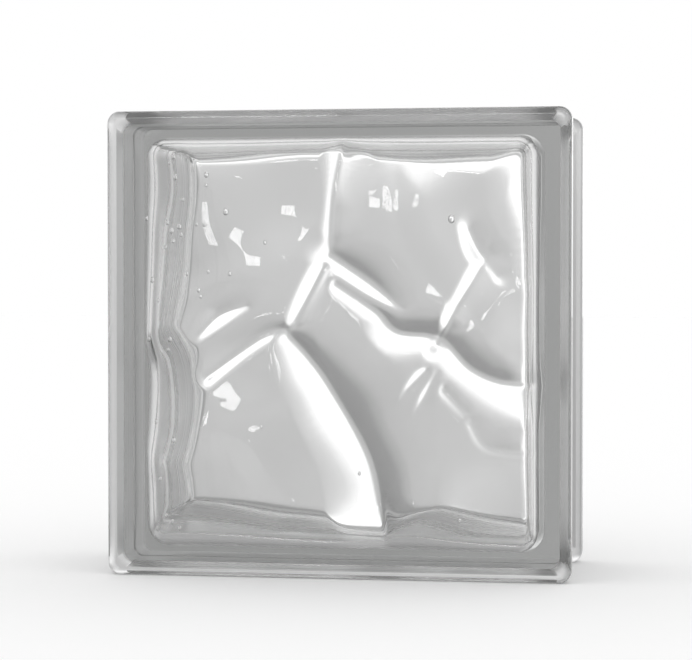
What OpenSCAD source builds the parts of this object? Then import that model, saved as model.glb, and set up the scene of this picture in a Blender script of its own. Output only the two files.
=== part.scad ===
// Hollow glass block: two pressed halves fused at a seam round the middle

/* [Block] */
// Width across the face
block_w = 190; // [140:1:300]
// Height across the face
block_h = 190; // [140:1:300]
// Thickness from face to face
block_t = 80; // [60:1:120]
// Rounding of the corners, seen from the front
corner_r = 5; // [5:0.5:12]
// Rounding between each face and its rim
edge_r = 3; // [2:0.5:4.5]

/* [Rims and mortar channel] */
// Flat outside of each rim
rim_land = 6; // [3:0.5:10]
// Rounding of each rim towards the channel
rim_back_r = 2; // [1:0.5:2.5]
// Depth of the mortar channel below the rims
channel_depth = 5; // [4.5:0.5:8]
// Slope up to each rim from the channel floor
channel_bevel = 2.5; // [1:0.5:2.5]
// Rounding of the channel floor's corners
channel_corner_r = 4; // [3:0.5:14]
// Width of the fused seam's bead along the channel
seam_w = 5; // [3:0.5:8]
// Height of that bead
seam_h = 0.8; // [0.4:0.1:1.5]

/* [Hollow] */
// Thinnest glass of each face, between the waves
face_t = 7; // [5:0.5:10]
// Glass of the left and right walls, next to the faces
wall_t = 9; // [6:0.5:10]
// Glass of the top and bottom walls, next to the faces
end_wall_t = 6; // [5:0.5:10]
// How much thinner the walls are at the seam
wall_taper = 1.5; // [0.5:0.5:2.5]
// Rounding of the hollow's corners at the faces, seen from the front
hollow_corner_r = 2; // [0.5:0.5:6]
// Rounding between the front face and the walls
front_fillet = 6; // [3:0.5:7]
// Rounding between the back face and the walls
back_fillet = 3; // [2:0.5:6]
// How far the seam stands into the hollow
inner_bead = 1; // [0.5:0.1:1.5]
// Width of the seam inside the hollow
inner_bead_w = 5; // [3:0.5:8]

/* [Waves] */
// Height of a wave inside the front face, which each crest takes its own share of
front_wave = 8; // [1:0.1:9]
// Height of a wave inside the back face, which each crest takes its own share of
back_wave = 2.8; // [0.5:0.1:4]
// Run of a flank, which each crest takes its own share of
wave_run = 20; // [14:1:26]
// Height of the slow swell between the crests
swell_h = 0.5; // [0.1:0.05:0.8]
// Rounding of the sharp crests of the front face
crest_r = 1; // [0.5:0.1:3]
// Rounding of the crests of the back face
back_crest_r = 2; // [0.5:0.5:6]
// Rounding of the crests along the sides of the front face
side_crest_r = 1; // [0.5:0.1:6]

/* [Hidden] */
$fn = 64;
rim_t = edge_r + rim_land + rim_back_r;
rim_in = block_t / 2 - rim_t;
core_w = block_w - 2 * channel_depth;
core_h = block_h - 2 * channel_depth;
bead_r = (seam_w * seam_w / 4 + seam_h * seam_h) / (2 * seam_h);
half_w = core_w / 2 - wall_t;
half_h = core_h / 2 - end_wall_t;
hollow_r = hollow_corner_r + max(front_fillet, back_fillet);
cells = 45;
fillet_steps = 3;

// Crests of the front face: how hollow the flank on the left of the way is, from 1 for flat to 2, which the
// right flank always has, the rounding of the crest, and points on the way of the crest. Each point is right
// and up as shares of half the hollow from its middle, share of the wave's height, and shares of the run to
// the left and to the right of the way.
front_crests = [
    // Wide streak from the left bend down
    [1.2, crest_r, [
        [0.24, -1.00, 1.15, 1.05, 1.10],
        [0.21, -0.80, 1.25, 1.05, 1.40],
        [0.15, -0.55, 1.25, 1.00, 1.80],
        [-0.04, -0.22, 1.12, 0.86, 1.60],
        [-0.15, -0.07, 0.88, 0.68, 0.90],
        [-0.25, 0.04, 0.45, 0.36, 0.40]
    ]],
    // Upper leaf beside the fork
    [1.5, crest_r, [
        [0.31, 0.18, 0.23, 0.20, 0.50],
        [0.16, 0.30, 0.58, 0.50, 0.80],
        [-0.04, 0.43, 0.50, 0.45, 0.70]
    ]],
    // Band from the right side up to the fork
    [1.5, crest_r, [
        [1.00, -0.20, 0.85, 0.90, 1.00],
        [0.81, -0.18, 0.77, 0.80, 1.00],
        [0.66, -0.11, 0.69, 0.70, 0.90],
        [0.51, 0.03, 0.65, 0.65, 0.80],
        [0.30, 0.06, 0.65, 0.65, 0.70],
        [0.19, 0.16, 0.38, 0.35, 0.40],
        [-0.01, 0.29, 0.29, 0.25, 0.30]
    ]],
    // Fork to the top
    [1.6, crest_r, [
        [-0.04, 0.42, 0.38, 0.32, 0.70],
        [-0.02, 0.71, 0.27, 0.22, 0.70],
        [0.02, 0.94, 0.38, 0.45, 0.80]
    ]],
    // Left bend to the fork
    [1.6, crest_r, [
        [-0.25, 0.04, 0.31, 0.25, 0.50],
        [-0.07, 0.37, 0.35, 0.30, 0.50]
    ]],
    // Left bend to the left side
    [1.6, crest_r, [
        [-0.26, 0.07, 0.28, 0.26, 0.30],
        [-0.40, 0.03, 0.28, 0.28, 0.50],
        [-0.68, -0.16, 0.28, 0.28, 0.60]
    ]],
    // Right band to the upper right
    [1.6, crest_r, [
        [0.50, 0.00, 0.65, 0.50, 0.70],
        [0.62, 0.20, 0.31, 0.25, 0.70],
        [0.76, 0.43, 0.31, 0.25, 0.70]
    ]],
    // Left leaf
    [1.6, crest_r, [
        [-0.48, 0.19, 0.16, 0.20, 0.50],
        [-0.61, 0.14, 0.30, 0.32, 0.60],
        [-0.71, 0.05, 0.16, 0.20, 0.60]
    ]],
    // Leaf across the upper right crest
    [1.6, crest_r, [
        [0.80, 0.33, 0.19, 0.18, 0.50],
        [0.71, 0.45, 0.33, 0.28, 0.60],
        [0.66, 0.55, 0.23, 0.20, 0.50]
    ]],
    // Top right corner
    [1.5, crest_r, [
        [1.00, 0.35, 0.19, 0.60, 0.30],
        [1.00, 0.70, 0.54, 1.00, 0.40],
        [1.00, 1.00, 0.60, 1.10, 0.40]
    ]],
    // Along the left side
    [1.2, side_crest_r, [
        [-1.00, 1.00, 0.60, 1.10, 0.60],
        [-1.00, 0.76, 0.95, 1.15, 0.60],
        [-1.00, 0.50, 0.55, 1.00, 0.60],
        [-1.00, 0.02, 0.26, 0.90, 0.60],
        [-1.00, -0.15, 1.30, 1.30, 0.60],
        [-1.00, -0.38, 0.98, 1.20, 0.60],
        [-1.00, -0.57, 0.44, 1.00, 0.60],
        [-1.00, -0.74, 0.66, 1.07, 0.60],
        [-1.00, -1.00, 0.80, 1.10, 0.60]
    ]],
    // Along the bottom
    [1.2, side_crest_r, [
        [-1.00, -1.00, 1.20, 1.00, 0.60],
        [-0.72, -1.00, 1.25, 1.00, 0.60],
        [-0.49, -1.00, 1.20, 0.98, 0.60],
        [-0.24, -1.00, 0.90, 0.90, 0.60],
        [0.01, -1.00, 0.60, 0.78, 0.60],
        [0.28, -1.00, 1.35, 1.05, 0.60],
        [0.47, -1.00, 1.20, 0.98, 0.60],
        [0.72, -1.00, 0.70, 0.80, 0.60],
        [1.00, -1.00, 0.42, 0.68, 0.60]
    ]],
    // Along the top
    [1.2, side_crest_r, [
        [1.00, 1.00, 0.50, 1.00, 0.60],
        [0.80, 1.00, 0.36, 0.80, 0.60],
        [0.45, 1.00, 0.24, 0.55, 0.60],
        [0.10, 1.00, 0.16, 0.45, 0.60],
        [-0.40, 1.00, 0.22, 0.50, 0.60],
        [-1.00, 1.00, 0.20, 0.50, 0.60]
    ]]
];

// Crests of the back face, in the same form
back_crests = [
    // Lower left
    [2, back_crest_r, [
        [-0.95, -0.45, 0.55, 0.80, 1.00],
        [-0.60, -0.55, 0.55, 0.80, 1.00],
        [-0.35, -0.95, 0.55, 0.80, 1.00]
    ]],
    // Upper right
    [2, back_crest_r, [
        [0.20, 0.95, 0.36, 0.70, 0.90],
        [0.24, 0.50, 0.36, 0.70, 0.90],
        [0.60, 0.10, 0.36, 0.70, 0.90]
    ]],
    // Round the sides: left, bottom, right and top
    [2, back_crest_r, [
        [-1.00, 1.00, 0.68, 0.80, 0.20],
        [-1.00, -1.00, 0.68, 0.80, 0.20]
    ]],
    [2, back_crest_r, [
        [-1.00, -1.00, 0.90, 1.00, 0.20],
        [0.00, -1.00, 0.68, 0.80, 0.20],
        [1.00, -1.00, 0.27, 0.60, 0.20]
    ]],
    [2, back_crest_r, [
        [1.00, -1.00, 0.18, 0.50, 0.20],
        [1.00, 0.00, 0.14, 0.50, 0.20],
        [1.00, 1.00, 0.64, 0.70, 0.20]
    ]],
    [2, back_crest_r, [
        [1.00, 1.00, 0.90, 1.20, 0.20],
        [0.45, 1.00, 1.00, 1.20, 0.20],
        [0.15, 1.00, 0.64, 1.00, 0.20],
        [-0.10, 1.00, 1.00, 1.20, 0.20],
        [-0.50, 1.00, 0.64, 1.10, 0.20],
        [-1.00, 1.00, 0.36, 1.00, 0.20]
    ]]
];

// Two long waves that make the swell: their runs to the right and up, as shares of the run
swell_waves = [[0.55, 0.85], [-0.95, 0.45]];

// Height of one stretch of a crest at point p, with a round top and flanks that end in the dish
function stretch_height(p, hollow, round_r, start, end) =
    let (
        a = [start[0] * half_w, start[1] * half_h],
        way = [end[0] * half_w, end[1] * half_h] - a,
        t = min(1, max(0, (p - a) * way / (way * way))),
        off = p - a - t * way,
        here = start + t * (end - start),
        d = norm(off),
        left = d > 0 ? cross(way, off) / (norm(way) * d) : 0,
        reach = wave_run * (here[3] + here[4] + (here[3] - here[4]) * left) / 2,
        drop = (norm([d, round_r]) - round_r) / reach
    )
    here[2] * pow(max(0, 1 - drop), hollow + (2 - hollow) * (1 - left) / 2);

// Height of the swell at point p
function swell(p) =
    let (waves = [for (w = swell_waves) 1 + sin((p[0] / w[0] + p[1] / w[1]) / wave_run * 180 / PI)])
    swell_h * (waves * [1, 1]);

// Height of one crest at point p, which is that of its highest stretch there
function crest_height(p, crest) =
    let (way = crest[2])
    max([for (i = [1 : len(way) - 1]) stretch_height(p, crest[0], crest[1], way[i - 1], way[i])]);

// Height of all waves together at point p, with rounded joins
function relief(p, crests, height) =
    let (powers = [for (crest = crests) pow(crest_height(p, crest), 4)])
    height * pow(powers * [for (power = powers) 1], 0.25) + swell(p);

// Point of the hollow's section at shares u and v of its half width and height
function section_point(u, v, inset) =
    let (
        a = half_w - inset,
        b = half_h - inset,
        r = hollow_r - inset,
        x = abs(u) * a,
        y = abs(v) * b,
        qx = max(x - a + r, 0),
        qy = max(y - b + r, 0),
        n = norm([qx, qy]),
        k = n > 0 ? max(qx, qy) / n : 0
    )
    [
        (u < 0 ? -1 : 1) * (min(x, a - r) + k * qx),
        (v < 0 ? -1 : 1) * (min(y, b - r) + k * qy)
    ];

// Share of the way along one side of the grid
function share(i) = 2 * i / cells - 1;

// Shares u and v of step k round the edge of the grid
function edge_share(k) =
    let (side = floor(k / cells), t = share(k % cells))
    side == 0 ? [t, -1] : side == 1 ? [1, t] : side == 2 ? [-t, 1] : [-1, -t];

// Inside of one face as a grid of points; front is 1 and back is -1
function face_points(front, crests, height, fillet) = [
    for (j = [0 : cells], i = [0 : cells])
        let (p = section_point(share(i), share(j), fillet))
        [p[0], p[1], front * (block_t / 2 - face_t - relief(p, crests, height))]
];

// Ring of the fillet between one face and the walls
function fillet_ring(front, crests, height, fillet, s) =
    let (
        turn = 90 * s / fillet_steps,
        inset = fillet * (1 - sin(turn)),
        drop = face_t + fillet * (1 - cos(turn))
    )
    [
        for (k = [0 : 4 * cells - 1])
            let (e = edge_share(k), p = section_point(e[0], e[1], inset))
            [p[0], p[1], front * (block_t / 2 - drop - relief(p, crests, height))]
    ];

// Ring of the walls at depth z
function wall_ring(z, inset) = [
    for (k = [0 : 4 * cells - 1])
        let (e = edge_share(k), p = section_point(e[0], e[1], inset))
        [p[0], p[1], z]
];

// Place in the grid of step k round its edge
function grid_place(k) =
    let (side = floor(k / cells), j = k % cells)
    side == 0 ? j
    : side == 1 ? j * (cells + 1) + cells
    : side == 2 ? cells * (cells + 1) + cells - j
    : (cells - j) * (cells + 1);

// Section of one rim: x out from the corner's axis, y towards the face
module rim_profile() {
    translate([0, rim_in])
        square([corner_r - edge_r, rim_t]);
    translate([0, rim_in])
        square([corner_r - rim_back_r, rim_t - edge_r]);
    translate([0, rim_in + rim_back_r])
        square([corner_r, rim_land]);
    translate([corner_r - edge_r, block_t / 2 - edge_r])
        intersection() {
            circle(edge_r);
            square(edge_r);
        }
    translate([corner_r - rim_back_r, rim_in + rim_back_r])
        intersection() {
            circle(rim_back_r);
            translate([0, -rim_back_r])
                square(rim_back_r);
        }
}

// Section of the core between the rims, with the channel floor and the seam's bead
module core_profile() {
    polygon([
        [0, -rim_in - 1],
        [channel_corner_r + channel_bevel, -rim_in - 1],
        [channel_corner_r + channel_bevel, -rim_in],
        [channel_corner_r, channel_bevel - rim_in],
        [channel_corner_r, rim_in - channel_bevel],
        [channel_corner_r + channel_bevel, rim_in],
        [channel_corner_r + channel_bevel, rim_in + 1],
        [0, rim_in + 1]
    ]);
    intersection() {
        translate([channel_corner_r + seam_h - bead_r, 0])
            circle(bead_r);
        translate([channel_corner_r - 1, -seam_w / 2])
            square([seam_h + 2, seam_w]);
    }
}

// Profile swept round a rounded rectangle, with the middle filled from z0 to z1
module swept(w, h, r, z0, z1) {
    for (side = [0 : 3]) {
        across = side % 2 == 0 ? w : h;
        along = side % 2 == 0 ? h : w;
        rotate([0, 0, 90 * side]) {
            translate([across / 2 - r, 0, 0])
                rotate([90, 0, 0])
                    linear_extrude(along - 2 * r, center = true)
                        children();
            translate([across / 2 - r, along / 2 - r, 0])
                rotate_extrude(angle = 90)
                    children();
        }
    }
    translate([0, 0, z0])
        linear_extrude(z1 - z0)
            square([w - 2 * r, h - 2 * r], center = true);
}

// Sealed hollow, with waves inside each face and walls that widen to the seam
module hollow() {
    ring_n = 4 * cells;
    grid_n = (cells + 1) * (cells + 1);
    seam_inset = inner_bead - wall_taper;
    rings = concat(
        [for (s = [1 : fillet_steps]) fillet_ring(1, front_crests, front_wave, front_fillet, s)],
        [
            wall_ring(inner_bead_w / 2, -wall_taper),
            wall_ring(0, seam_inset),
            wall_ring(-inner_bead_w / 2, -wall_taper)
        ],
        [for (s = [fillet_steps : -1 : 1]) fillet_ring(-1, back_crests, back_wave, back_fillet, s)]
    );
    rings_n = len(rings);
    back_start = grid_n + rings_n * ring_n;
    points = concat(
        face_points(1, front_crests, front_wave, front_fillet),
        [for (ring = rings, p = ring) p],
        face_points(-1, back_crests, back_wave, back_fillet)
    );
    front_faces = [
        for (j = [0 : cells - 1], i = [0 : cells - 1])
            let (a = j * (cells + 1) + i, b = a + cells + 1)
            each [[a, b, b + 1], [a, b + 1, a + 1]]
    ];
    back_faces = [
        for (j = [0 : cells - 1], i = [0 : cells - 1])
            let (a = back_start + j * (cells + 1) + i, b = a + cells + 1)
            each [[a, b + 1, b], [a, a + 1, b + 1]]
    ];
    side_faces = [
        for (m = [0 : rings_n], k = [0 : ring_n - 1])
            let (
                n = (k + 1) % ring_n,
                top = grid_n + (m - 1) * ring_n,
                low = grid_n + m * ring_n,
                a = m == 0 ? grid_place(k) : top + k,
                b = m == 0 ? grid_place(n) : top + n,
                c = m == rings_n ? back_start + grid_place(k) : low + k,
                d = m == rings_n ? back_start + grid_place(n) : low + n
            )
            each [[a, b, d], [a, d, c]]
    ];
    polyhedron(points, concat(front_faces, side_faces, back_faces));
}

// The whole block, standing on its rims with the front face towards -Y
module glass_block() {
    color([0.78, 0.82, 0.82, 0.6])
        translate([0, 0, block_h / 2])
            rotate([90, 0, 0])
                difference() {
                    union() {
                        swept(block_w, block_h, corner_r, rim_in, block_t / 2)
                            rim_profile();
                        mirror([0, 0, 1])
                            swept(block_w, block_h, corner_r, rim_in, block_t / 2)
                                rim_profile();
                        swept(core_w, core_h, channel_corner_r, -rim_in - 1, rim_in + 1)
                            core_profile();
                    }
                    hollow();
                }
}

glass_block();
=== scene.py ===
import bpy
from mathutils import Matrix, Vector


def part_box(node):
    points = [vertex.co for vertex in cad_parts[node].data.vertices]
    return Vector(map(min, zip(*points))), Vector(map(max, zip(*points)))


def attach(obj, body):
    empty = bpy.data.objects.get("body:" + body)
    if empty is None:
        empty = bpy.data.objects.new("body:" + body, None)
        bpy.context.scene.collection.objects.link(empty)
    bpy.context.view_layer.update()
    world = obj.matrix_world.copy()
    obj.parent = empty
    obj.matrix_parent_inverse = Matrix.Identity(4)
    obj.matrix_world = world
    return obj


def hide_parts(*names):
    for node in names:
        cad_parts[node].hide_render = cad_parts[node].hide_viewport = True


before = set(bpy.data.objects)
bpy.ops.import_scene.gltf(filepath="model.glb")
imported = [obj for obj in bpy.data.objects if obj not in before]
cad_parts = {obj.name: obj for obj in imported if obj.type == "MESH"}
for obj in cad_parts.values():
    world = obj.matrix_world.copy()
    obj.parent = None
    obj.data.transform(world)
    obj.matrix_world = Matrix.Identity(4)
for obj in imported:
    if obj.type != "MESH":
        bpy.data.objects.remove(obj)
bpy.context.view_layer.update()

import math

import bmesh
import bpy
import numpy as np
from mathutils import Vector

# Sizes of the block, in metres
MM = 0.001
LOW, HIGH = (Vector(corner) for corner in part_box("glass_block"))
WIDTH = HIGH.x - LOW.x
DEPTH = HIGH.y - LOW.y
HEIGHT = HIGH.z - LOW.z
MID = HEIGHT / 2
CORNER_R = 5 * MM
EDGE_R = 3 * MM
RIM_LAND = 6 * MM
RIM_BACK_R = 2 * MM
CHANNEL_DEPTH = 5 * MM
CHANNEL_BEVEL = 2.5 * MM
CHANNEL_CORNER_R = 4 * MM
RIM_OVERLAP = 1 * MM
SEAM_W = 5 * MM
SEAM_H = 0.8 * MM
FACE_T = 7 * MM
WALL_T = 9 * MM
END_WALL_T = 6 * MM
WALL_TAPER = 1.5 * MM
HOLLOW_CORNER_R = 2 * MM
FRONT_FILLET = 6 * MM
BACK_FILLET = 3 * MM
INNER_BEAD = 1 * MM
INNER_BEAD_W = 5 * MM
RIM_T = EDGE_R + RIM_LAND + RIM_BACK_R
CORE_W = WIDTH - 2 * CHANNEL_DEPTH
CORE_H = HEIGHT - 2 * CHANNEL_DEPTH
HALF_W = CORE_W / 2 - WALL_T
HALF_H = CORE_H / 2 - END_WALL_T

# Fineness of the roundings outside and of half the seam's bead, and the angle up to which two faces are
# shaded as one
ROUND_STEPS = 10
RIM_BACK_STEPS = 6
SEAM_STEPS = 4
SMOOTH_ANGLE = math.radians(40)

# Fineness of the hollow's mesh
CELLS = 190
FILLET_STEPS = 6
BEAD_STEPS = 8
CURVE_STEPS = 8

# Lengths that count as none, to find and to merge points by, and a number to keep a divisor above 0
SAME_PLACE = 1e-5
MERGE_SKIN = 1e-6
MERGE_GRID = 1e-4
TINY = 1e-9

# Waves inside the faces
FRONT_WAVE = 8 * MM
BACK_WAVE = 2.8 * MM
WAVE_RUN = 20 * MM
SWELL_H = 0.5 * MM
CREST_R = 1 * MM
BACK_CREST_R = 2 * MM
SIDE_CREST_R = 1 * MM

# Power that joins crests: the higher it is, the sharper the join
JOIN_POWER = 4

# Crests of the front face: how hollow the flank on the left of the way is, from 1 for flat to 2, which
# the flank on its right always has, the rounding of the crest, and points on the way of the crest. Each
# point is right and up as shares of half the hollow from its middle, share of the wave's height, and
# shares of the run to the left and to the right of the way.
FRONT_CRESTS = [
    # Wide streak from the left bend down
    (1.2, CREST_R, [
        (0.24, -1.00, 1.15, 1.05, 1.10),
        (0.21, -0.80, 1.25, 1.05, 1.40),
        (0.15, -0.55, 1.25, 1.00, 1.80),
        (-0.04, -0.22, 1.12, 0.86, 1.60),
        (-0.15, -0.07, 0.88, 0.68, 0.90),
        (-0.25, 0.04, 0.45, 0.36, 0.40),
    ]),
    # Upper leaf beside the fork
    (1.5, CREST_R, [
        (0.31, 0.18, 0.23, 0.20, 0.50),
        (0.16, 0.30, 0.58, 0.50, 0.80),
        (-0.04, 0.43, 0.50, 0.45, 0.70),
    ]),
    # Band from the right side up to the fork
    (1.5, CREST_R, [
        (1.00, -0.20, 0.85, 0.90, 1.00),
        (0.81, -0.18, 0.77, 0.80, 1.00),
        (0.66, -0.11, 0.69, 0.70, 0.90),
        (0.51, 0.03, 0.65, 0.65, 0.80),
        (0.30, 0.06, 0.65, 0.65, 0.70),
        (0.19, 0.16, 0.38, 0.35, 0.40),
        (-0.01, 0.29, 0.29, 0.25, 0.30),
    ]),
    # Fork to the top
    (1.6, CREST_R, [
        (-0.04, 0.42, 0.38, 0.32, 0.70),
        (-0.02, 0.71, 0.27, 0.22, 0.70),
        (0.02, 0.94, 0.38, 0.45, 0.80),
    ]),
    # Left bend to the fork
    (1.6, CREST_R, [
        (-0.25, 0.04, 0.31, 0.25, 0.50),
        (-0.07, 0.37, 0.35, 0.30, 0.50),
    ]),
    # Left bend to the left side
    (1.6, CREST_R, [
        (-0.26, 0.07, 0.28, 0.26, 0.30),
        (-0.40, 0.03, 0.28, 0.28, 0.50),
        (-0.68, -0.16, 0.28, 0.28, 0.60),
    ]),
    # Right band to the upper right
    (1.6, CREST_R, [
        (0.50, 0.00, 0.65, 0.50, 0.70),
        (0.62, 0.20, 0.31, 0.25, 0.70),
        (0.76, 0.43, 0.31, 0.25, 0.70),
    ]),
    # Left leaf
    (1.6, CREST_R, [
        (-0.48, 0.19, 0.16, 0.20, 0.50),
        (-0.61, 0.14, 0.30, 0.32, 0.60),
        (-0.71, 0.05, 0.16, 0.20, 0.60),
    ]),
    # Leaf across the upper right crest
    (1.6, CREST_R, [
        (0.80, 0.33, 0.19, 0.18, 0.50),
        (0.71, 0.45, 0.33, 0.28, 0.60),
        (0.66, 0.55, 0.23, 0.20, 0.50),
    ]),
    # Top right corner
    (1.5, CREST_R, [
        (1.00, 0.35, 0.19, 0.60, 0.30),
        (1.00, 0.70, 0.54, 1.00, 0.40),
        (1.00, 1.00, 0.60, 1.10, 0.40),
    ]),
    # Along the left side
    (1.2, SIDE_CREST_R, [
        (-1.00, 1.00, 0.60, 1.10, 0.60),
        (-1.00, 0.76, 0.95, 1.15, 0.60),
        (-1.00, 0.50, 0.55, 1.00, 0.60),
        (-1.00, 0.02, 0.26, 0.90, 0.60),
        (-1.00, -0.15, 1.30, 1.30, 0.60),
        (-1.00, -0.38, 0.98, 1.20, 0.60),
        (-1.00, -0.57, 0.44, 1.00, 0.60),
        (-1.00, -0.74, 0.66, 1.07, 0.60),
        (-1.00, -1.00, 0.80, 1.10, 0.60),
    ]),
    # Along the bottom
    (1.2, SIDE_CREST_R, [
        (-1.00, -1.00, 1.20, 1.00, 0.60),
        (-0.72, -1.00, 1.25, 1.00, 0.60),
        (-0.49, -1.00, 1.20, 0.98, 0.60),
        (-0.24, -1.00, 0.90, 0.90, 0.60),
        (0.01, -1.00, 0.60, 0.78, 0.60),
        (0.28, -1.00, 1.35, 1.05, 0.60),
        (0.47, -1.00, 1.20, 0.98, 0.60),
        (0.72, -1.00, 0.70, 0.80, 0.60),
        (1.00, -1.00, 0.42, 0.68, 0.60),
    ]),
    # Along the top
    (1.2, SIDE_CREST_R, [
        (1.00, 1.00, 0.50, 1.00, 0.60),
        (0.80, 1.00, 0.36, 0.80, 0.60),
        (0.45, 1.00, 0.24, 0.55, 0.60),
        (0.10, 1.00, 0.16, 0.45, 0.60),
        (-0.40, 1.00, 0.22, 0.50, 0.60),
        (-1.00, 1.00, 0.20, 0.50, 0.60),
    ]),
    # Fine lines below the right band
    (1.5, CREST_R, [
        (0.63, -0.31, 0.17, 0.18, 0.40),
        (0.54, -0.22, 0.23, 0.20, 0.40),
    ]),
    (1.5, CREST_R, [
        (0.28, -0.36, 0.15, 0.15, 0.30),
        (0.34, -0.24, 0.17, 0.15, 0.30),
        (0.45, -0.13, 0.15, 0.15, 0.30),
    ]),
    (1.5, CREST_R, [
        (0.36, -0.38, 0.15, 0.15, 0.30),
        (0.44, -0.26, 0.17, 0.15, 0.30),
        (0.50, -0.14, 0.15, 0.15, 0.30),
    ]),
    (1.5, CREST_R, [
        (0.98, -0.52, 0.12, 0.15, 0.50),
        (0.76, -0.49, 0.15, 0.15, 0.50),
        (0.68, -0.38, 0.15, 0.15, 0.40),
    ]),
]

# Crests of the back face, in the same form
BACK_CRESTS = [
    # Lower left
    (2, BACK_CREST_R, [
        (-0.95, -0.45, 0.55, 0.80, 1.00),
        (-0.60, -0.55, 0.55, 0.80, 1.00),
        (-0.35, -0.95, 0.55, 0.80, 1.00),
    ]),
    # Upper right
    (2, BACK_CREST_R, [
        (0.20, 0.95, 0.36, 0.70, 0.90),
        (0.24, 0.50, 0.36, 0.70, 0.90),
        (0.60, 0.10, 0.36, 0.70, 0.90),
    ]),
    # Round the sides: left, bottom, right and top
    (2, BACK_CREST_R, [
        (-1.00, 1.00, 0.68, 0.80, 0.20),
        (-1.00, -1.00, 0.68, 0.80, 0.20),
    ]),
    (2, BACK_CREST_R, [
        (-1.00, -1.00, 0.90, 1.00, 0.20),
        (0.00, -1.00, 0.68, 0.80, 0.20),
        (1.00, -1.00, 0.27, 0.60, 0.20),
    ]),
    (2, BACK_CREST_R, [
        (1.00, -1.00, 0.18, 0.50, 0.20),
        (1.00, 0.00, 0.14, 0.50, 0.20),
        (1.00, 1.00, 0.64, 0.70, 0.20),
    ]),
    (2, BACK_CREST_R, [
        (1.00, 1.00, 0.90, 1.20, 0.20),
        (0.45, 1.00, 1.00, 1.20, 0.20),
        (0.15, 1.00, 0.64, 1.00, 0.20),
        (-0.10, 1.00, 1.00, 1.20, 0.20),
        (-0.50, 1.00, 0.64, 1.10, 0.20),
        (-1.00, 1.00, 0.36, 1.00, 0.20),
    ]),
]

# Runs of the two long waves of the swell, across and up, as shares of the run
SWELL_WAVES = [(0.55, 0.85), (-0.95, 0.45)]

# Seeds, small bubbles in the front face: right and up as shares of half the hollow, and size in
# millimetres
SEEDS = [
    (-0.83, 0.91, 0.5), (-0.85, 0.88, 0.35), (-0.82, 0.81, 0.5), (-0.66, 0.82, 0.5), (-0.66, 0.77, 0.35),
    (-0.80, 0.57, 0.5), (-0.79, 0.53, 0.4), (-0.86, 0.59, 0.45), (-0.84, 0.55, 0.5), (-0.83, 0.50, 0.4),
    (-0.87, 0.47, 0.35), (-0.85, 0.02, 0.5), (-0.86, -0.03, 0.35), (-0.84, -0.87, 0.5), (-0.80, -0.90, 0.35),
    (-0.97, 0.61, 0.4), (-0.94, 0.31, 0.5), (-0.91, 0.21, 0.35), (-0.76, 0.34, 0.35), (-0.71, 0.58, 0.35),
    (-0.67, 0.58, 0.45), (-0.70, 0.26, 0.4), (-0.69, 0.23, 0.35), (-0.65, 0.35, 0.35), (-0.54, 0.34, 0.4),
    (-0.36, 0.49, 0.35), (-0.96, 0.02, 0.45), (-0.92, -0.38, 0.4), (-0.83, -0.47, 0.45), (-0.58, -0.27, 0.35),
    (-0.87, -0.84, 0.4), (-0.78, 0.70, 0.35), (-0.90, -0.66, 0.35),
    (-0.56, 0.64, 0.6), (0.58, 0.60, 0.7), (-0.38, -0.40, 0.35), (0.12, -0.62, 0.35), (0.62, -0.84, 0.4),
]

# Shape of a seed across, in depth and upward, its radius as a multiple of the size in its row, and the
# fineness of its mesh
SEED_SHAPE = (1, 0.4, 1.25)
SEED_SPREAD = 2
SEED_STEPS = 2

# Glass: how it bends light and its grey body
GLASS_IOR = 1.52
BODY_COLOUR = (0.505, 0.51, 0.505, 1)
BODY_DENSITY = 18

# Matt sides in the channel: where they begin, out from the middle, and where they end towards the faces
MATT_FROM = (86.5 * MM, 87.5 * MM)
MATT_TO = (30.5 * MM, 31.5 * MM)
MATT_ROUGHNESS = 0.42

# Fine finish: a faint ripple all over, which also dulls the polish, and drawn lines on the matt sides
RIPPLE_SCALE = 40
RIPPLE_H = 0.1 * MM
RIPPLE_RANGE = (0.3, 0.7)
DULLEST_POLISH = 0.03
DRAWN_SCALE = 250
DRAWN_DETAIL = 2
DRAWN_H = 0.2 * MM

# Floor: size in metres, and how pale it is to all but the camera, which sees it white
FLOOR_SIZE = 12
FLOOR_LEVEL = 0.85

# Camera fitted to the photograph
UP = Vector((0, 0, 1))
EYE = Vector((0.1558, -0.9465, 0.1222))
LOOK = Vector((-0.1645, 0.9861, -0.0232)).normalized()
LENS = 118.8
SENSOR_W = 36

# How often light may bounce or pass through a skin of the glass
BOUNCES = 24

# Light tent that the glass shows: level against the angle from the middle of its dim back, in
# degrees, on the side of the window, up and to the right, and on the side away from it
WINDOW_TURN = math.radians(42)
BACK_OFFSET = math.radians(2)
TENT_LIGHT_SIDE = [
    (0, 0.615),
    (3, 0.615),
    (6, 0.635),
    (9, 0.70),
    (10.5, 0.76),
    (12, 0.87),
    (13.5, 1.1),
    (16, 1.5),
    (20, 1.5),
    (24, 1.0),
    (28, 0.6),
    (34, 0.65),
    (44, 0.9),
    (58, 1.0),
    (78, 1.05),
    (102, 1.05),
    (125, 0.95),
    (180, 0.85),
]
TENT_DARK_SIDE = [
    (0, 0.615),
    (4, 0.585),
    (9, 0.56),
    (12, 0.48),
    (15, 0.35),
    (26, 0.32),
    (33, 0.45),
    (40, 0.7),
    (60, 0.8),
    (78, 0.9),
    (102, 0.9),
    (125, 0.9),
    (180, 0.85),
]

# Where the tent goes over from its dark side to its light side, as the cosine of the angle to the window
SIDE_CHANGE = (-0.7, -0.2)

# How much darker the ground below the block is than the sides of the tent, and where it sets in, as the
# sine of the angle below the horizon
GROUND_SHADE = 0.45
GROUND_EDGE = (0.3, 0.8)

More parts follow.
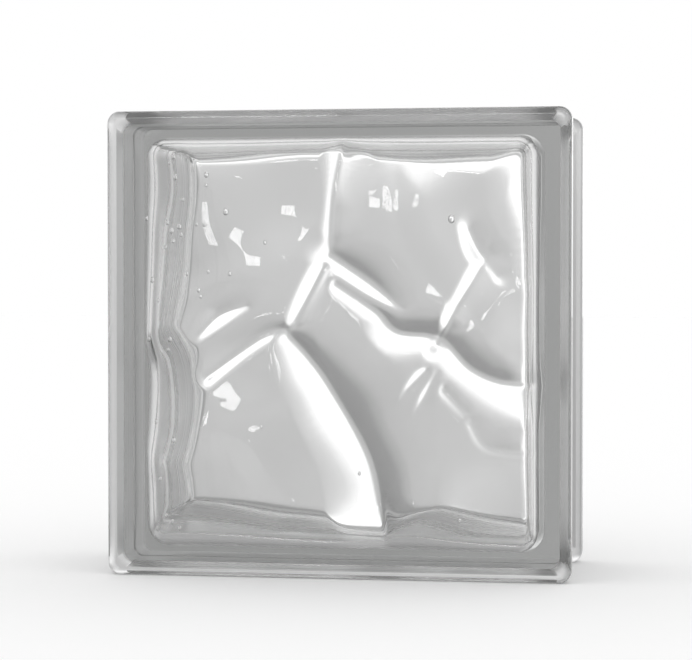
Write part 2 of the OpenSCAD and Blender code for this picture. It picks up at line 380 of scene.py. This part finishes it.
# Small square lamp behind the camera, which glints on the waves: turn to the left of the mirrored line
# of sight, rise above it, half width, half height and level
LAMP_TURN = math.radians(3)
LAMP_RISE = math.radians(10.5)
LAMP_HALF_W = math.radians(2.5)
LAMP_HALF_H = math.radians(2)
LAMP_LEVEL = 12


# Modelling helpers
def start_clean():
    """Leaves nothing selected, so that an operator acts only on what is added next."""
    if bpy.context.object and bpy.context.object.mode != "OBJECT":
        bpy.ops.object.mode_set(mode="OBJECT")
    bpy.ops.object.select_all(action="DESELECT")


def add_box(name, low, high):
    """A box between two corners, with its place in its mesh."""
    start_clean()
    low, high = Vector(low), Vector(high)
    bpy.ops.mesh.primitive_cube_add(size=1, location=(low + high) / 2)
    box = bpy.context.object
    box.name = name
    box.scale = high - low
    bpy.ops.object.transform_apply(location=True, rotation=True, scale=True)
    return box


def pick(piece, test_edge):
    """Selects, in edit mode, the edges whose two ends pass the test."""
    bpy.ops.mesh.select_mode(type="EDGE")
    bpy.ops.mesh.select_all(action="DESELECT")
    mesh = bmesh.from_edit_mesh(piece.data)
    for edge in mesh.edges:
        edge.select_set(test_edge(edge.verts[0].co, edge.verts[1].co))
    mesh.select_flush(False)
    bmesh.update_edit_mesh(piece.data)


def near(a, b):
    """Whether two lengths are the same."""
    return abs(a - b) < SAME_PLACE


def round_edges(piece, test_edge, radius, steps):
    """Rounds the edges that pass the test."""
    bpy.ops.object.mode_set(mode="EDIT")
    pick(piece, test_edge)
    bpy.ops.mesh.bevel(offset=radius, segments=steps, profile=0.5, affect="EDGES")
    bpy.ops.object.mode_set(mode="OBJECT")


def along_depth(a, b):
    """Whether an edge runs from front to back."""
    return near(a.x, b.x) and near(a.z, b.z)


def rim(name, face_y, inner_y):
    """One rim plate: rounded corners, a round edge to the face and a smaller one to the channel."""
    low = (LOW.x, min(face_y, inner_y), LOW.z)
    high = (HIGH.x, max(face_y, inner_y), HIGH.z)
    plate = add_box(name, low, high)
    round_edges(plate, along_depth, CORNER_R, ROUND_STEPS)
    round_edges(plate, lambda a, b: near(a.y, face_y) and near(b.y, face_y), EDGE_R, ROUND_STEPS)
    round_edges(plate, lambda a, b: near(a.y, inner_y) and near(b.y, inner_y), RIM_BACK_R, RIM_BACK_STEPS)
    return plate


def swell_ring(piece, test_y, by):
    """Moves the rings of the core that pass the test out by a distance."""
    pick(piece, lambda a, b: test_y(a.y) and test_y(b.y))
    across = (CORE_W / 2 + by) / (CORE_W / 2)
    upward = (CORE_H / 2 + by) / (CORE_H / 2)
    bpy.ops.transform.resize(value=(across, 1, upward), center_override=(0, 0, MID))


def core():
    """The body between the rims: channel floor, slopes up to the rims and the seam's bead."""
    inner = DEPTH / 2 - RIM_T
    end = inner + RIM_OVERLAP
    body = add_box("core", (-CORE_W / 2, -end, MID - CORE_H / 2), (CORE_W / 2, end, MID + CORE_H / 2))
    round_edges(body, along_depth, CHANNEL_CORNER_R, ROUND_STEPS)
    slope_start = inner - CHANNEL_BEVEL
    bead_lines = [SEAM_W / 2 * step / SEAM_STEPS for step in range(-SEAM_STEPS, SEAM_STEPS + 1)]
    bpy.ops.object.mode_set(mode="EDIT")
    for y in [-inner, -slope_start, *bead_lines, slope_start, inner]:
        bpy.ops.mesh.select_all(action="SELECT")
        bpy.ops.mesh.bisect(plane_co=(0, y, 0), plane_no=(0, 1, 0))
    swell_ring(body, lambda y: abs(y) > inner - SAME_PLACE, CHANNEL_BEVEL)
    for line in bead_lines[1:-1]:
        rise = SEAM_H * (1 - (2 * line / SEAM_W) ** 2)
        swell_ring(body, lambda y: near(y, line), rise)
    bpy.ops.object.mode_set(mode="OBJECT")
    return body


def outer_skin():
    """Rims and core as one closed skin."""
    inner = DEPTH / 2 - RIM_T
    plates = [rim("front_rim", LOW.y, -inner), rim("back_rim", HIGH.y, inner)]
    body = core()
    for plate in plates:
        start_clean()
        bpy.context.view_layer.objects.active = body
        body.select_set(True)
        union = body.modifiers.new("join_rim", "BOOLEAN")
        union.operation = "UNION"
        union.solver = "EXACT"
        union.object = plate
        bpy.ops.object.modifier_apply(modifier=union.name)
        bpy.data.objects.remove(plate)
    bpy.ops.object.mode_set(mode="EDIT")
    bpy.ops.mesh.select_all(action="SELECT")
    bpy.ops.mesh.remove_doubles(threshold=MERGE_SKIN)
    bpy.ops.mesh.normals_make_consistent(inside=False)
    bpy.ops.object.mode_set(mode="OBJECT")
    return body


# Waves
def smooth(points):
    """A smooth curve through a crest's points, with CURVE_STEPS stretches between each two."""
    padded = [points[0], *points, points[-1]]
    curve = []
    for four in zip(padded, padded[1:], padded[2:], padded[3:]):
        a, b, c, d = (np.array(point) for point in four)
        square = 2 * a - 5 * b + 4 * c - d
        cube = 3 * b - a - 3 * c + d
        for step in range(CURVE_STEPS):
            t = step / CURVE_STEPS
            curve.append(b + ((c - a) * t + square * t ** 2 + cube * t ** 3) / 2)
    return [*curve, points[-1]]


def stretch_height(x, z, hollow, rounding, start, end):
    """Height of one stretch of a crest, with a round top and flanks that end in the dish."""
    start_x, start_z = start[0] * HALF_W, start[1] * HALF_H
    way_x, way_z = end[0] * HALF_W - start_x, end[1] * HALF_H - start_z
    length = math.hypot(way_x, way_z)
    share = np.clip(((x - start_x) * way_x + (z - start_z) * way_z) / length ** 2, 0, 1)
    off_x, off_z = x - start_x - share * way_x, z - start_z - share * way_z
    height, on_left, on_right = (i + (j - i) * share for i, j in zip(start[2:], end[2:]))
    distance = np.hypot(off_x, off_z)
    left = (way_x * off_z - way_z * off_x) / (length * np.maximum(distance, TINY))
    reach = WAVE_RUN * (on_left + on_right + (on_left - on_right) * left) / 2
    drop = (np.hypot(distance, rounding) - rounding) / reach
    return height * np.maximum(0, 1 - drop) ** (hollow + (2 - hollow) * (1 - left) / 2)


def relief(x, z, crests, wave):
    """Height of all waves together, with rounded joins between crests."""
    total = np.zeros_like(x)
    for hollow, rounding, points in crests:
        curve = smooth(points)
        stretches = [stretch_height(x, z, hollow, rounding, *ends) for ends in zip(curve, curve[1:])]
        total += np.max(stretches, axis=0) ** JOIN_POWER
    swell = sum(1 + np.sin((x / across + z / upward) / WAVE_RUN) for across, upward in SWELL_WAVES)
    return wave * total ** (1 / JOIN_POWER) + SWELL_H * swell


def section(u, v, inset):
    """Points of the hollow's section at shares u and v of its half width and height."""
    a, b, r = HALF_W - inset, HALF_H - inset, HOLLOW_CORNER_R + FRONT_FILLET - inset
    x, z = np.abs(u) * a, np.abs(v) * b
    past_x, past_z = np.maximum(x - a + r, 0), np.maximum(z - b + r, 0)
    pull = np.maximum(past_x, past_z) / np.maximum(np.hypot(past_x, past_z), TINY)
    x = np.minimum(x, a - r) + pull * past_x
    z = np.minimum(z, b - r) + pull * past_z
    return np.copysign(x, u), np.copysign(z, v)


def hollow_layers():
    """Layers of the hollow from front to back: inset, depth from the middle, share of the waves, face."""
    def fillet(radius):
        flat = DEPTH / 2 - FACE_T
        steps = []
        for step in range(FILLET_STEPS + 1):
            turn = math.pi / 2 * step / FILLET_STEPS
            steps.append((radius * (1 - math.sin(turn)), flat - radius * (1 - math.cos(turn))))
        return steps

    front = [(inset, -depth, 1, 1) for inset, depth in fillet(FRONT_FILLET)]
    back = [(inset, depth, 1, -1) for inset, depth in reversed(fillet(BACK_FILLET))]
    bead = []
    for step in range(BEAD_STEPS + 1):
        t = 2 * step / BEAD_STEPS - 1
        inset = INNER_BEAD * (1 + math.cos(math.pi * t)) / 2 - WALL_TAPER
        bead.append((inset, t * INNER_BEAD_W / 2, 0, 1))
    return front + bead + back


def hollow_skin():
    """The sealed hollow: a wavy grid for each face and rings of wall between them."""
    def on_edge(p):
        return near(max(abs(p.x), abs(p.y)), 1)

    start_clean()
    layers = hollow_layers()
    last = len(layers) - 1
    bpy.ops.mesh.primitive_grid_add(x_subdivisions=CELLS, y_subdivisions=CELLS, size=2)
    skin = bpy.context.object
    skin.name = "hollow"
    bpy.ops.object.mode_set(mode="EDIT")
    bpy.ops.mesh.select_all(action="SELECT")
    bpy.ops.mesh.duplicate_move(TRANSFORM_OT_translate={"value": (0, 0, last)})
    pick(skin, lambda a, b: near(a.z + b.z, 0) and on_edge(a) and on_edge(b) and on_edge((a + b) / 2))
    for _ in range(last):
        bpy.ops.mesh.extrude_edges_move(TRANSFORM_OT_translate={"value": (0, 0, 1)})
    bpy.ops.mesh.select_all(action="SELECT")
    bpy.ops.mesh.remove_doubles(threshold=MERGE_GRID)
    bpy.ops.object.mode_set(mode="OBJECT")
    places = np.empty(3 * len(skin.data.vertices), dtype=np.float32)
    skin.data.vertices.foreach_get("co", places)
    u, v, layer = places.reshape(-1, 3).astype(float).T
    inset, depth, share, face = np.array(layers)[np.rint(layer).astype(int)].T
    x, z = section(u, v, inset)
    front = relief(x, z, FRONT_CRESTS, FRONT_WAVE)
    back = -relief(x, z, BACK_CRESTS, BACK_WAVE)
    y = depth + share * np.where(face > 0, front, back)
    skin.data.vertices.foreach_set("co", np.stack([x, y, MID + z], axis=1).ravel())
    skin.data.update()
    bpy.ops.object.mode_set(mode="EDIT")
    bpy.ops.mesh.select_all(action="SELECT")
    bpy.ops.mesh.normals_make_consistent(inside=True)
    bpy.ops.object.mode_set(mode="OBJECT")
    return skin


def seeds():
    """Small closed bubbles inside the front face, their skins turned to the air in them."""
    bubbles = []
    for right, up, size in SEEDS:
        start_clean()
        place = (right * HALF_W, LOW.y + FACE_T / 2, MID + up * HALF_H)
        radius = SEED_SPREAD * size * MM
        bpy.ops.mesh.primitive_ico_sphere_add(subdivisions=SEED_STEPS, radius=radius, location=place)
        bubble = bpy.context.object
        bubble.scale = SEED_SHAPE
        bpy.ops.object.transform_apply(location=True, rotation=True, scale=True)
        bpy.ops.object.mode_set(mode="EDIT")
        bpy.ops.mesh.select_all(action="SELECT")
        bpy.ops.mesh.normals_make_consistent(inside=True)
        bpy.ops.object.mode_set(mode="OBJECT")
        bubbles.append(bubble)
    return bubbles


def glass_block():
    """The whole block as one closed mesh, with the hollow and the seeds inside it."""
    block = outer_skin()
    inner_skins = [hollow_skin(), *seeds()]
    start_clean()
    for skin in inner_skins:
        skin.select_set(True)
    block.select_set(True)
    bpy.context.view_layer.objects.active = block
    bpy.ops.object.join()
    block.name = "clear_glass_block"
    bpy.ops.object.shade_smooth_by_angle(angle=SMOOTH_ANGLE)
    weighted = block.modifiers.new("flat_faces", "WEIGHTED_NORMAL")
    weighted.keep_sharp = True
    bpy.ops.object.modifier_apply(modifier=weighted.name)
    return block


# Materials
def new_material(name):
    """A material with nothing in it yet, and its node tree."""
    material = bpy.data.materials.new(name)
    material.use_nodes = True
    material.node_tree.nodes.clear()
    return material, material.node_tree


def value(tree, operation, a, b=None):
    """Result of a sum or comparison; a and b are numbers or sockets."""
    node = tree.nodes.new("ShaderNodeMath")
    node.operation = operation
    for socket, item in zip(node.inputs, (a, b)):
        if isinstance(item, (int, float)):
            socket.default_value = item
        elif item is not None:
            tree.links.new(item, socket)
    return node.outputs["Value"]


def ramp(tree, source, start, end, low=0, high=1):
    """Goes smoothly from low to high while the source goes from start to end."""
    node = tree.nodes.new("ShaderNodeMapRange")
    node.interpolation_type = "SMOOTHSTEP"
    names = ("From Min", "From Max", "To Min", "To Max")
    for name, number in zip(names, (start, end, low, high)):
        node.inputs[name].default_value = number
    tree.links.new(source, node.inputs["Value"])
    return node.outputs["Result"]


def clear_glass():
    """Clear pressed glass with a faint grey body colour, and matt sides where mortar has to hold."""
    material, tree = new_material("clear_pressed_glass")
    nodes, links = tree.nodes, tree.links
    out = nodes.new("ShaderNodeOutputMaterial")
    shader = nodes.new("ShaderNodeBsdfPrincipled")
    shader.inputs["Base Color"].default_value = (1, 1, 1, 1)
    shader.inputs["IOR"].default_value = GLASS_IOR
    shader.inputs["Transmission Weight"].default_value = 1.0
    links.new(shader.outputs["BSDF"], out.inputs["Surface"])
    body = nodes.new("ShaderNodeVolumeAbsorption")
    body.inputs["Color"].default_value = BODY_COLOUR
    body.inputs["Density"].default_value = BODY_DENSITY
    links.new(body.outputs["Volume"], out.inputs["Volume"])

    where = nodes.new("ShaderNodeTexCoord")
    axes = nodes.new("ShaderNodeSeparateXYZ")
    links.new(where.outputs["Object"], axes.inputs["Vector"])
    across = value(tree, "ABSOLUTE", axes.outputs["X"])
    upward = value(tree, "ABSOLUTE", value(tree, "SUBTRACT", axes.outputs["Z"], MID))
    outer = ramp(tree, value(tree, "MAXIMUM", across, upward), *MATT_FROM)
    channel = ramp(tree, value(tree, "ABSOLUTE", axes.outputs["Y"]), *MATT_TO, 1, 0)
    matt = value(tree, "MULTIPLY", outer, channel)

    ripple = nodes.new("ShaderNodeTexNoise")
    ripple.inputs["Scale"].default_value = RIPPLE_SCALE
    ripple.inputs["Detail"].default_value = 0
    links.new(where.outputs["Object"], ripple.inputs["Vector"])
    polish = ramp(tree, ripple.outputs["Fac"], *RIPPLE_RANGE, 0, DULLEST_POLISH)
    roughness = value(tree, "ADD", polish, value(tree, "MULTIPLY", matt, MATT_ROUGHNESS))
    links.new(roughness, shader.inputs["Roughness"])

    drawn = nodes.new("ShaderNodeTexNoise")
    drawn.noise_dimensions = "1D"
    drawn.inputs["Scale"].default_value = DRAWN_SCALE
    drawn.inputs["Detail"].default_value = DRAWN_DETAIL
    links.new(axes.outputs["Y"], drawn.inputs["W"])
    lines = value(tree, "MULTIPLY", value(tree, "MULTIPLY", drawn.outputs["Fac"], matt), DRAWN_H)
    height = value(tree, "ADD", value(tree, "MULTIPLY", ripple.outputs["Fac"], RIPPLE_H), lines)
    bump = nodes.new("ShaderNodeBump")
    bump.inputs["Distance"].default_value = 1
    links.new(height, bump.inputs["Height"])
    links.new(bump.outputs["Normal"], shader.inputs["Normal"])
    return material


def floor_material():
    """Pale floor, left out of what shows through the glass, where the tent's ground stands for it."""
    material, tree = new_material("pale_floor")
    nodes, links = tree.nodes, tree.links
    out = nodes.new("ShaderNodeOutputMaterial")
    paper = nodes.new("ShaderNodeBsdfDiffuse")
    through = nodes.new("ShaderNodeBsdfTransparent")
    rays = nodes.new("ShaderNodeLightPath")
    shade = nodes.new("ShaderNodeMapRange")
    shade.inputs["To Min"].default_value = FLOOR_LEVEL
    links.new(rays.outputs["Is Camera Ray"], shade.inputs["Value"])
    links.new(shade.outputs["Result"], paper.inputs["Color"])
    mix = nodes.new("ShaderNodeMixShader")
    links.new(rays.outputs["Is Transmission Ray"], mix.inputs["Fac"])
    links.new(paper.outputs["BSDF"], mix.inputs[1])
    links.new(through.outputs["BSDF"], mix.inputs[2])
    links.new(mix.outputs["Shader"], out.inputs["Surface"])
    return material


def studio_world():
    """White to the camera; through and on the glass, a grey tent with a bright strip and a lamp."""
    world = bpy.data.worlds.new("studio")
    bpy.context.scene.world = world
    world.use_nodes = True
    tree = world.node_tree
    nodes, links = tree.nodes, tree.links
    nodes.clear()

    out = nodes.new("ShaderNodeOutputWorld")
    background = nodes.new("ShaderNodeBackground")
    links.new(background.outputs["Background"], out.inputs["Surface"])
    where = nodes.new("ShaderNodeTexCoord")

    def along(axis):
        """How far the direction of a ray points along an axis."""
        node = nodes.new("ShaderNodeVectorMath")
        node.operation = "DOT_PRODUCT"
        node.inputs[1].default_value = axis
        links.new(where.outputs["Generated"], node.inputs[0])
        return node.outputs["Value"]

    def tent(levels):
        """Level of the tent on one side, against the angle from the middle of its back."""
        node = nodes.new("ShaderNodeValToRGB")
        links.new(value(tree, "DIVIDE", angle, math.pi), node.inputs["Fac"])
        stops = node.color_ramp.elements
        while len(stops) < len(levels):
            stops.new(0.5)
        for stop, (degrees, level) in zip(stops, levels):
            stop.position = degrees / 180
            stop.color = (level, level, level, 1)
        return node.outputs["Color"]

    def blend(factor, a, b):
        """Mix of two colours, by the sockets that a mix node has for colours."""
        node = nodes.new("ShaderNodeMix")
        node.data_type = "RGBA"
        links.new(factor, node.inputs["Factor"])
        for socket, item in zip(node.inputs[6:8], (a, b)):
            if isinstance(item, tuple):
                socket.default_value = item
            else:
                links.new(item, socket)
        return node.outputs[2]

    right = LOOK.cross(UP).normalized()
    window = right * math.cos(WINDOW_TURN) + right.cross(LOOK) * math.sin(WINDOW_TURN)
    back = (LOOK - window * math.tan(BACK_OFFSET)).normalized()
    angle = value(tree, "ARCCOSINE", along(back))
    side = ramp(tree, value(tree, "DIVIDE", along(window), value(tree, "SINE", angle)), *SIDE_CHANGE)
    tent_light = blend(side, tent(TENT_DARK_SIDE), tent(TENT_LIGHT_SIDE))
    mirrored = Vector((LOOK.x, -LOOK.y, LOOK.z))
    lamp_right = mirrored.cross(UP).normalized()
    lamp = mirrored + lamp_right * math.tan(LAMP_TURN) + lamp_right.cross(mirrored) * math.tan(LAMP_RISE)
    lamp.normalize()
    lamp_side = lamp.cross(UP).normalized()
    off_across = value(tree, "ABSOLUTE", along(lamp_side))
    off_upward = value(tree, "ABSOLUTE", along(lamp_side.cross(lamp)))
    within_w = value(tree, "LESS_THAN", off_across, math.sin(LAMP_HALF_W))
    within_h = value(tree, "LESS_THAN", off_upward, math.sin(LAMP_HALF_H))
    facing = value(tree, "GREATER_THAN", along(lamp), 0)
    lit = value(tree, "MULTIPLY", value(tree, "MULTIPLY", within_w, within_h), facing)
    below = value(tree, "MULTIPLY", ramp(tree, along((0, 0, -1)), *GROUND_EDGE), GROUND_SHADE)
    shaded = blend(below, tent_light, (0, 0, 0, 1))
    room = blend(lit, shaded, (LAMP_LEVEL, LAMP_LEVEL, LAMP_LEVEL, 1))
    rays = nodes.new("ShaderNodeLightPath")
    glass = value(tree, "MAXIMUM", rays.outputs["Is Glossy Ray"], rays.outputs["Is Transmission Ray"])
    links.new(blend(glass, (1, 1, 1, 1), room), background.inputs["Color"])


def floor():
    """The plain floor under the block."""
    start_clean()
    bpy.ops.mesh.primitive_plane_add(size=FLOOR_SIZE, location=(0, 0, 0))
    ground = bpy.context.object
    ground.name = "floor"
    ground.data.materials.append(floor_material())


def camera():
    """The photograph's view, a little from the right and above the middle."""
    data = bpy.data.cameras.new("photo_view")
    data.lens = LENS
    data.sensor_width = SENSOR_W
    eye = bpy.data.objects.new("photo_view", data)
    bpy.context.scene.collection.objects.link(eye)
    eye.location = EYE
    eye.rotation_euler = LOOK.to_track_quat("-Z", "Y").to_euler()
    bpy.context.scene.camera = eye


camera()
studio_world()
floor()
block = glass_block()
block.data.materials.clear()
block.data.materials.append(clear_glass())
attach(block, "root")
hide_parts("glass_block")

scene = bpy.context.scene
scene.view_settings.view_transform = "Standard"
scene.cycles.max_bounces = BOUNCES
scene.cycles.transmission_bounces = BOUNCES
scene.cycles.glossy_bounces = BOUNCES
